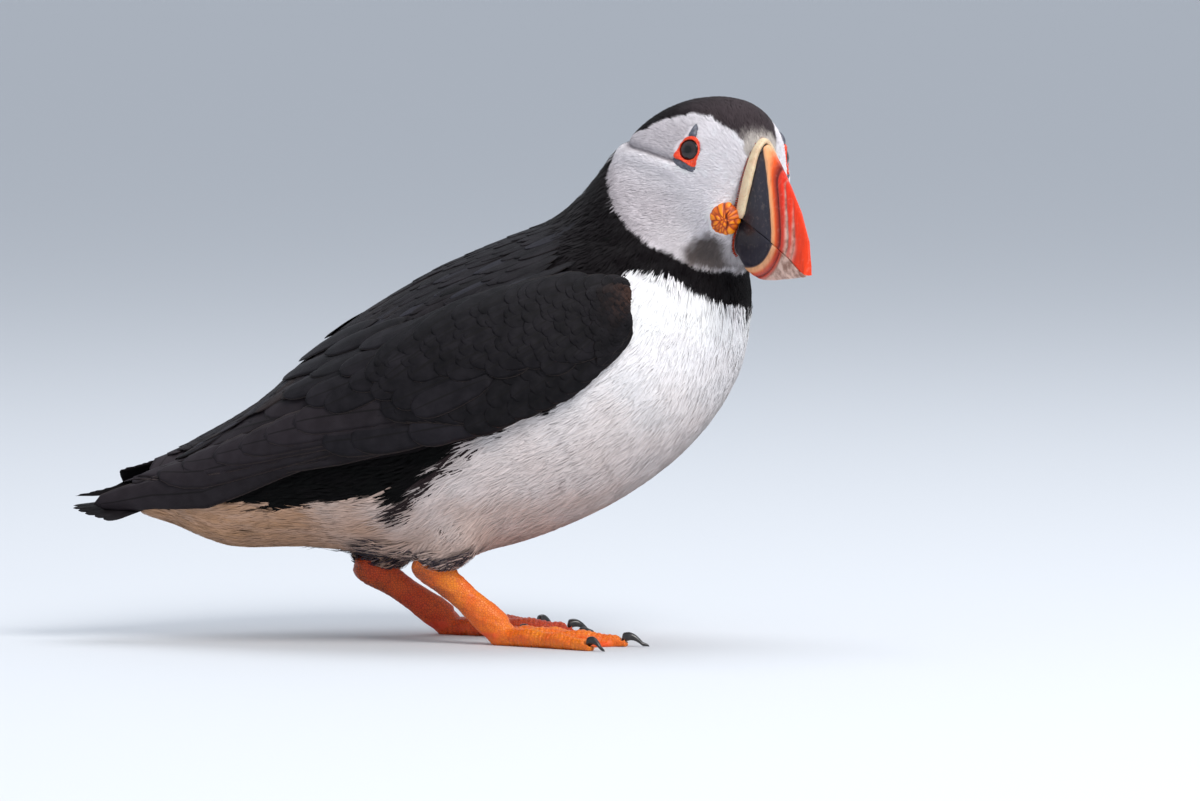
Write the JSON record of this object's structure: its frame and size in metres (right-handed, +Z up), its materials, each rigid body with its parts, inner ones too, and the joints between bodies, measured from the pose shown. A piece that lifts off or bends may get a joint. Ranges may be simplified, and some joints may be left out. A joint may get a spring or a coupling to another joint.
{
  "type": "atlantic puffin",
  "caption": "Life-size seabird model standing on webbed feet, deep coloured bill, head turned to its right, wings folded.",
  "frame": {"origin": "on the floor, under the middle of the bounding box", "axes": "+X towards the breast, +Y towards the bird's left, +Z up"},
  "size_m": [0.2102, 0.0998, 0.156],
  "materials": {
    "body_plumage": "white breast and belly feathers, black on the back and flanks",
    "head_plumage": "short pale grey-white face feathers with a sooty cap and nape",
    "neck_plumage": "short black collar feathers with a soft sheen",
    "tail_feathers": "black feather vanes",
    "wing_plumage": "black coverts with a cool sheen",
    "flight_feathers": "brown-black vanes with fine pale edges",
    "thigh_plumage": "loose white feathers with slate tips",
    "bill_strip": "cream pitted skin with dark red papillae",
    "bill_horn": "slate base, cream border and red grooved tip, satin horn",
    "gape_rosette": "folded orange skin",
    "eye": "wet, dark brown-grey iris round a black pupil",
    "eye_ring": "bare vermilion skin",
    "eye_plates": "blue-grey horny skin",
    "leg_skin": "orange skin in small scales, darker behind",
    "foot_skin": "orange scaled toes and smoother red-orange web",
    "claw": "black horn"
  },
  "bodies": {
    "root": {"bill_base": "bill_strip", "bill_lower": "bill_horn", "bill_upper": "bill_horn", "claw_inner_left": "claw", "claw_inner_right": "claw", "claw_middle_left": "claw", "claw_middle_right": "claw", "claw_outer_left": "claw", "claw_outer_right": "claw", "eye_horn_left": "eye_plates", "eye_horn_right": "eye_plates", "eye_left": "eye", "eye_plate_left": "eye_plates", "eye_plate_right": "eye_plates", "eye_right": "eye", "eye_ring_left": "eye_ring", "eye_ring_right": "eye_ring", "foot_left": "foot_skin", "foot_right": "foot_skin", "gape_rosette_left": "gape_rosette", "gape_rosette_right": "gape_rosette", "head": "head_plumage", "leg_left": "leg_skin", "leg_right": "leg_skin", "neck": "neck_plumage", "primaries_left": "flight_feathers", "primaries_right": "flight_feathers", "tail": "tail_feathers", "thigh_left": "thigh_plumage", "thigh_right": "thigh_plumage", "trunk": "body_plumage", "wing_left": "wing_plumage", "wing_right": "wing_plumage"}
  },
  "joints": []
}
